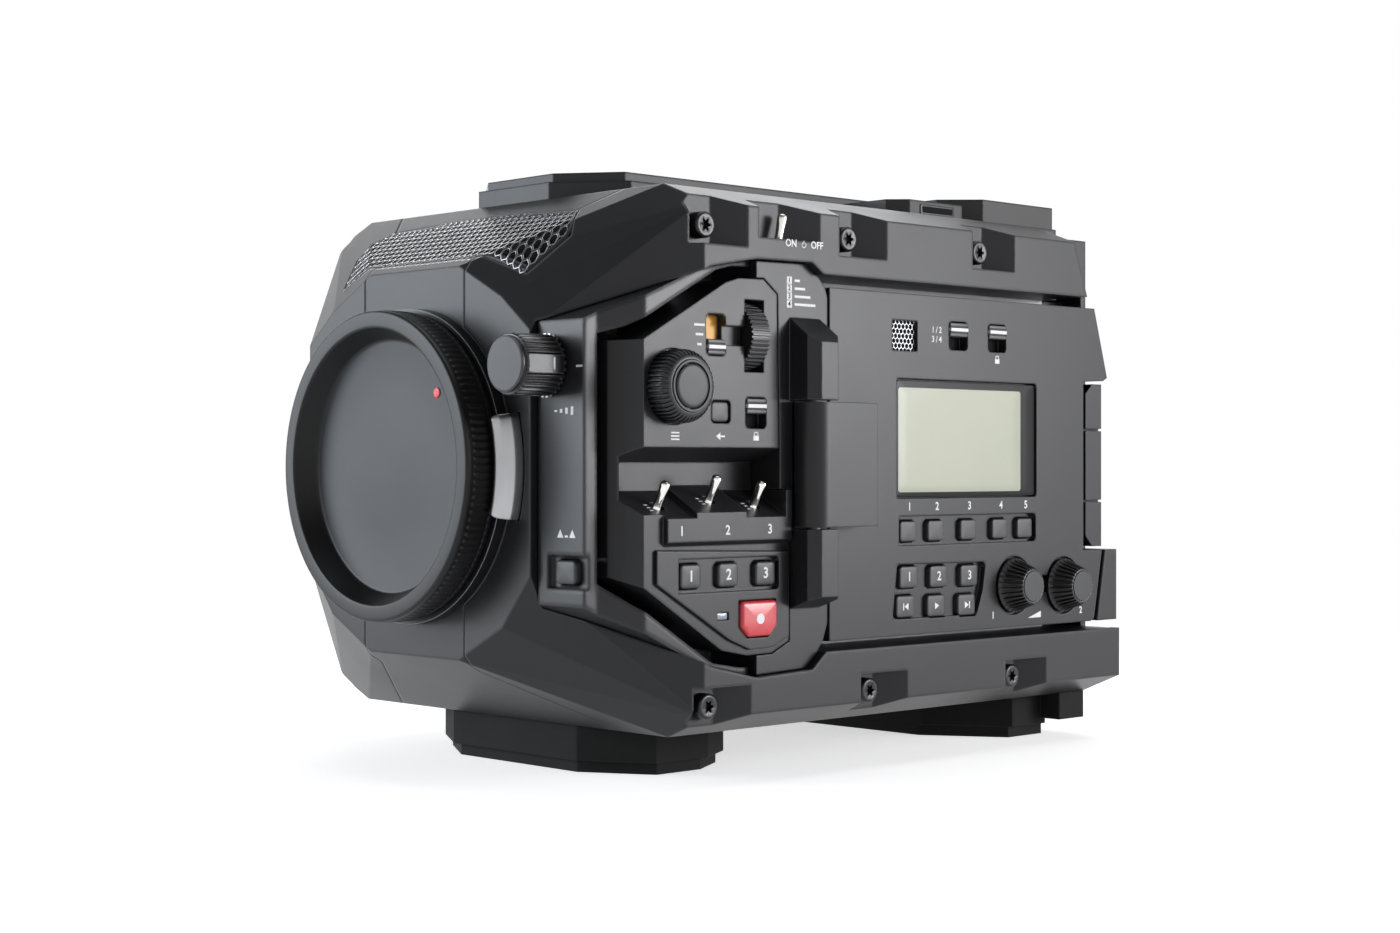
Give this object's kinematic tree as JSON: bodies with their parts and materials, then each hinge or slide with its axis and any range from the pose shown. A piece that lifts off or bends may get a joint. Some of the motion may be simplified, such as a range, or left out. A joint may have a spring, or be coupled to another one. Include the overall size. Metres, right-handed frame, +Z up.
{
  "type": "digital cinema camera",
  "caption": "Digital cinema camera body: hinged side door with display and keys, geared filter wheel, twist-off mount cap, dials, toggles, switches, rosette, tripod and accessory threads.",
  "frame": {"origin": "mouth of the tripod thread in the front foot, on the surface the camera stands on", "axes": "+Z up, -Y toward the lens, +X the operator's side with the door"},
  "size_m": [0.1524, 0.2065, 0.1484],
  "materials": {
    "casing": "satin",
    "panel": "satin",
    "chassis": "satin",
    "mic_mesh": "satin",
    "deck": "satin",
    "foot": "matte",
    "mount_metal": "satin",
    "cap_plastic": "matte",
    "release_metal": "satin",
    "knob_black": "satin",
    "gear_nylon": "satin",
    "filter_disc": "satin",
    "key_rubber": "matte",
    "toggle_chrome": "polished",
    "record_red": "gloss",
    "switch_plastic": "satin",
    "glass_display": "gloss",
    "glass_touch": "gloss",
    "sensor": "gloss",
    "board": "satin",
    "fan_plastic": "satin",
    "pin_steel": "satin",
    "screw_black": "satin",
    "rosette_steel": "satin",
    "cover_rubber": "matte"
  },
  "bodies": {
    "camera_body": {"chassis_frame": "chassis", "centre_shell": "casing", "left_shell": "casing", "right_shell": "casing", "rear_panel": "casing", "mic_grille": "mic_mesh", "top_plate": "deck", "audio_block": "deck", "front_foot": "foot", "rear_foot": "foot", "lens_mount": "mount_metal", "control_frame": "panel", "control_panel": "panel", "record_panel": "panel", "hinge_cover": "panel", "hinge_pin": "pin_steel", "rosette": "rosette_steel", "casing_screws": "screw_black", "image_sensor": "sensor", "main_board": "board"},
    "door": {"door_shell": "panel", "status_display": "glass_display", "touch_display": "glass_touch"},
    "body_cap": {"body_cap": "cap_plastic"},
    "lens_release": {"lens_release": "release_metal"},
    "nd_knob": {"nd_knob": "knob_black"},
    "nd_idler_gear": {"nd_idler_gear": "gear_nylon"},
    "nd_filter_wheel": {"nd_filter_wheel": "filter_disc"},
    "white_balance_button": {"white_balance_button": "key_rubber"},
    "menu_dial": {"menu_dial": "knob_black"},
    "menu_button": {"menu_button": "key_rubber"},
    "back_button": {"back_button": "key_rubber"},
    "lock_switch": {"lock_switch": "switch_plastic"},
    "level_switch": {"level_switch": "switch_plastic"},
    "level_wheel": {"level_wheel": "knob_black"},
    "gain_toggle": {"gain_toggle": "toggle_chrome"},
    "shutter_toggle": {"shutter_toggle": "toggle_chrome"},
    "white_balance_toggle": {"white_balance_toggle": "toggle_chrome"},
    "function_button_1": {"function_button_1": "key_rubber"},
    "function_button_2": {"function_button_2": "key_rubber"},
    "frame_rate_button": {"frame_rate_button": "key_rubber"},
    "record_button": {"record_button": "record_red"},
    "power_toggle": {"power_toggle": "toggle_chrome"},
    "channel_switch": {"channel_switch": "switch_plastic"},
    "door_lock_switch": {"door_lock_switch": "switch_plastic"},
    "volume_knob_1": {"volume_knob_1": "knob_black"},
    "volume_knob_2": {"volume_knob_2": "knob_black"},
    "display_button_1": {"display_button_1": "key_rubber"},
    "display_button_2": {"display_button_2": "key_rubber"},
    "display_button_3": {"display_button_3": "key_rubber"},
    "display_button_4": {"display_button_4": "key_rubber"},
    "display_button_5": {"display_button_5": "key_rubber"},
    "transport_button_1": {"transport_button_1": "key_rubber"},
    "transport_button_2": {"transport_button_2": "key_rubber"},
    "transport_button_3": {"transport_button_3": "key_rubber"},
    "transport_button_4": {"transport_button_4": "key_rubber"},
    "transport_button_5": {"transport_button_5": "key_rubber"},
    "transport_button_6": {"transport_button_6": "key_rubber"},
    "cooling_fan": {"cooling_fan": "fan_plastic"},
    "port_cover": {"port_cover": "cover_rubber"}
  },
  "joints": [
    {"name": "door_hinge", "type": "hinge", "parent": "camera_body", "child": "door", "pos_m": [0.073, 0.0135, 0.075], "axis": [0, 0, -1], "range_deg": [0, 90]},
    {"name": "cap_twist", "type": "hinge", "parent": "camera_body", "child": "body_cap", "pos_m": [0, -0.054, 0.075], "axis": [0, 1, 0], "range_deg": [0, 60]},
    {"name": "release_slide", "type": "slide", "parent": "camera_body", "child": "lens_release", "axis": [0, 1, 0], "range_m": [0, 0.002], "stiffness_N_per_m": 500, "springref_m": -0.001},
    {"name": "nd_wheel_spin", "type": "hinge", "parent": "camera_body", "child": "nd_filter_wheel", "pos_m": [0, -0.026, 0.095], "axis": [0, 1, 0], "continuous": true},
    {"name": "nd_idler_spin", "type": "hinge", "parent": "camera_body", "child": "nd_idler_gear", "pos_m": [0.0245, -0.021, 0.0965], "axis": [0, 1, 0], "continuous": true},
    {"name": "nd_knob_spin", "type": "hinge", "parent": "camera_body", "child": "nd_knob", "pos_m": [0.049, -0.04, 0.098], "axis": [0, 1, 0], "continuous": true},
    {"name": "white_balance_press", "type": "slide", "parent": "camera_body", "child": "white_balance_button", "axis": [0, 1, 0], "range_m": [0, 0.0008], "stiffness_N_per_m": 400, "springref_m": -0.0008},
    {"name": "menu_dial_spin", "type": "hinge", "parent": "camera_body", "child": "menu_dial", "pos_m": [0.0695, -0.02918, 0.09318], "axis": [1, 0, 0], "continuous": true},
    {"name": "menu_press", "type": "slide", "parent": "menu_dial", "child": "menu_button", "axis": [-1, 0, 0], "range_m": [0, 0.0008], "stiffness_N_per_m": 400, "springref_m": -0.0008},
    {"name": "back_press", "type": "slide", "parent": "camera_body", "child": "back_button", "axis": [-1, 0, 0], "range_m": [0, 0.0008], "stiffness_N_per_m": 400, "springref_m": -0.0008},
    {"name": "lock_slide", "type": "slide", "parent": "camera_body", "child": "lock_switch", "axis": [0, 0, -1], "range_m": [0, 0.003]},
    {"name": "level_slide", "type": "slide", "parent": "camera_body", "child": "level_switch", "axis": [0, 0, 1], "range_m": [0, 0.0054]},
    {"name": "level_wheel_spin", "type": "hinge", "parent": "camera_body", "child": "level_wheel", "pos_m": [0.0639, -0.00338, 0.10566], "axis": [0, 1, 0], "continuous": true},
    {"name": "gain_toggle_tilt", "type": "hinge", "parent": "camera_body", "child": "gain_toggle", "pos_m": [0.06551, -0.03148, 0.06466], "axis": [0, 1, 0], "range_deg": [-12, 12]},
    {"name": "shutter_toggle_tilt", "type": "hinge", "parent": "camera_body", "child": "shutter_toggle", "pos_m": [0.06551, -0.01522, 0.06596], "axis": [0, 1, 0], "range_deg": [-12, 12]},
    {"name": "white_balance_toggle_tilt", "type": "hinge", "parent": "camera_body", "child": "white_balance_toggle", "pos_m": [0.06551, -0.00042, 0.06466], "axis": [0, 1, 0], "range_deg": [-12, 12]},
    {"name": "function_1_press", "type": "slide", "parent": "camera_body", "child": "function_button_1", "axis": [-1, 0, 0], "range_m": [0, 0.0008], "stiffness_N_per_m": 400, "springref_m": -0.0008},
    {"name": "function_2_press", "type": "slide", "parent": "camera_body", "child": "function_button_2", "axis": [-1, 0, 0], "range_m": [0, 0.0008], "stiffness_N_per_m": 400, "springref_m": -0.0008},
    {"name": "frame_rate_press", "type": "slide", "parent": "camera_body", "child": "frame_rate_button", "axis": [-1, 0, 0], "range_m": [0, 0.0008], "stiffness_N_per_m": 400, "springref_m": -0.0008},
    {"name": "record_press", "type": "slide", "parent": "camera_body", "child": "record_button", "axis": [-1, 0, 0], "range_m": [0, 0.0008], "stiffness_N_per_m": 400, "springref_m": -0.0008},
    {"name": "power_tilt", "type": "hinge", "parent": "camera_body", "child": "power_toggle", "pos_m": [0.069, 0.0048, 0.1274], "axis": [1, 0, 0], "range_deg": [0, 24]},
    {"name": "channel_slide", "type": "slide", "parent": "door", "child": "channel_switch", "axis": [0, 0, -1], "range_m": [0, 0.003]},
    {"name": "door_lock_slide", "type": "slide", "parent": "door", "child": "door_lock_switch", "axis": [0, 0, -1], "range_m": [0, 0.003]},
    {"name": "volume_spin_1", "type": "hinge", "parent": "door", "child": "volume_knob_1", "pos_m": [0.07, 0.09342, 0.04351], "axis": [1, 0, 0], "range_deg": [0, 270]},
    {"name": "volume_spin_2", "type": "hinge", "parent": "door", "child": "volume_knob_2", "pos_m": [0.07, 0.11464, 0.04282], "axis": [1, 0, 0], "range_deg": [0, 270]},
    {"name": "display_press_1", "type": "slide", "parent": "door", "child": "display_button_1", "axis": [-1, 0, 0], "range_m": [0, 0.0008], "stiffness_N_per_m": 400, "springref_m": -0.0008},
    {"name": "display_press_2", "type": "slide", "parent": "door", "child": "display_button_2", "axis": [-1, 0, 0], "range_m": [0, 0.0008], "stiffness_N_per_m": 400, "springref_m": -0.0008},
    {"name": "display_press_3", "type": "slide", "parent": "door", "child": "display_button_3", "axis": [-1, 0, 0], "range_m": [0, 0.0008], "stiffness_N_per_m": 400, "springref_m": -0.0008},
    {"name": "display_press_4", "type": "slide", "parent": "door", "child": "display_button_4", "axis": [-1, 0, 0], "range_m": [0, 0.0008], "stiffness_N_per_m": 400, "springref_m": -0.0008},
    {"name": "display_press_5", "type": "slide", "parent": "door", "child": "display_button_5", "axis": [-1, 0, 0], "range_m": [0, 0.0008], "stiffness_N_per_m": 400, "springref_m": -0.0008},
    {"name": "transport_press_1", "type": "slide", "parent": "door", "child": "transport_button_1", "axis": [-1, 0, 0], "range_m": [0, 0.0008], "stiffness_N_per_m": 400, "springref_m": -0.0008},
    {"name": "transport_press_2", "type": "slide", "parent": "door", "child": "transport_button_2", "axis": [-1, 0, 0], "range_m": [0, 0.0008], "stiffness_N_per_m": 400, "springref_m": -0.0008},
    {"name": "transport_press_3", "type": "slide", "parent": "door", "child": "transport_button_3", "axis": [-1, 0, 0], "range_m": [0, 0.0008], "stiffness_N_per_m": 400, "springref_m": -0.0008},
    {"name": "transport_press_4", "type": "slide", "parent": "door", "child": "transport_button_4", "axis": [-1, 0, 0], "range_m": [0, 0.0008], "stiffness_N_per_m": 400, "springref_m": -0.0008},
    {"name": "transport_press_5", "type": "slide", "parent": "door", "child": "transport_button_5", "axis": [-1, 0, 0], "range_m": [0, 0.0008], "stiffness_N_per_m": 400, "springref_m": -0.0008},
    {"name": "transport_press_6", "type": "slide", "parent": "door", "child": "transport_button_6", "axis": [-1, 0, 0], "range_m": [0, 0.0008], "stiffness_N_per_m": 400, "springref_m": -0.0008},
    {"name": "fan_spin", "type": "hinge", "parent": "camera_body", "child": "cooling_fan", "pos_m": [-0.04, 0.086, 0.075], "axis": [1, 0, 0], "continuous": true},
    {"name": "port_cover_hinge", "type": "hinge", "parent": "camera_body", "child": "port_cover", "pos_m": [0.0655, 0.1323, 0.075], "axis": [0, 0, 1], "range_deg": [0, 80]}
  ],
  "couplings": [
    {"joint": "nd_knob_spin", "follows": "nd_wheel_spin", "ratio": 1},
    {"joint": "nd_idler_spin", "follows": "nd_wheel_spin", "ratio": -0.34483}
  ]
}
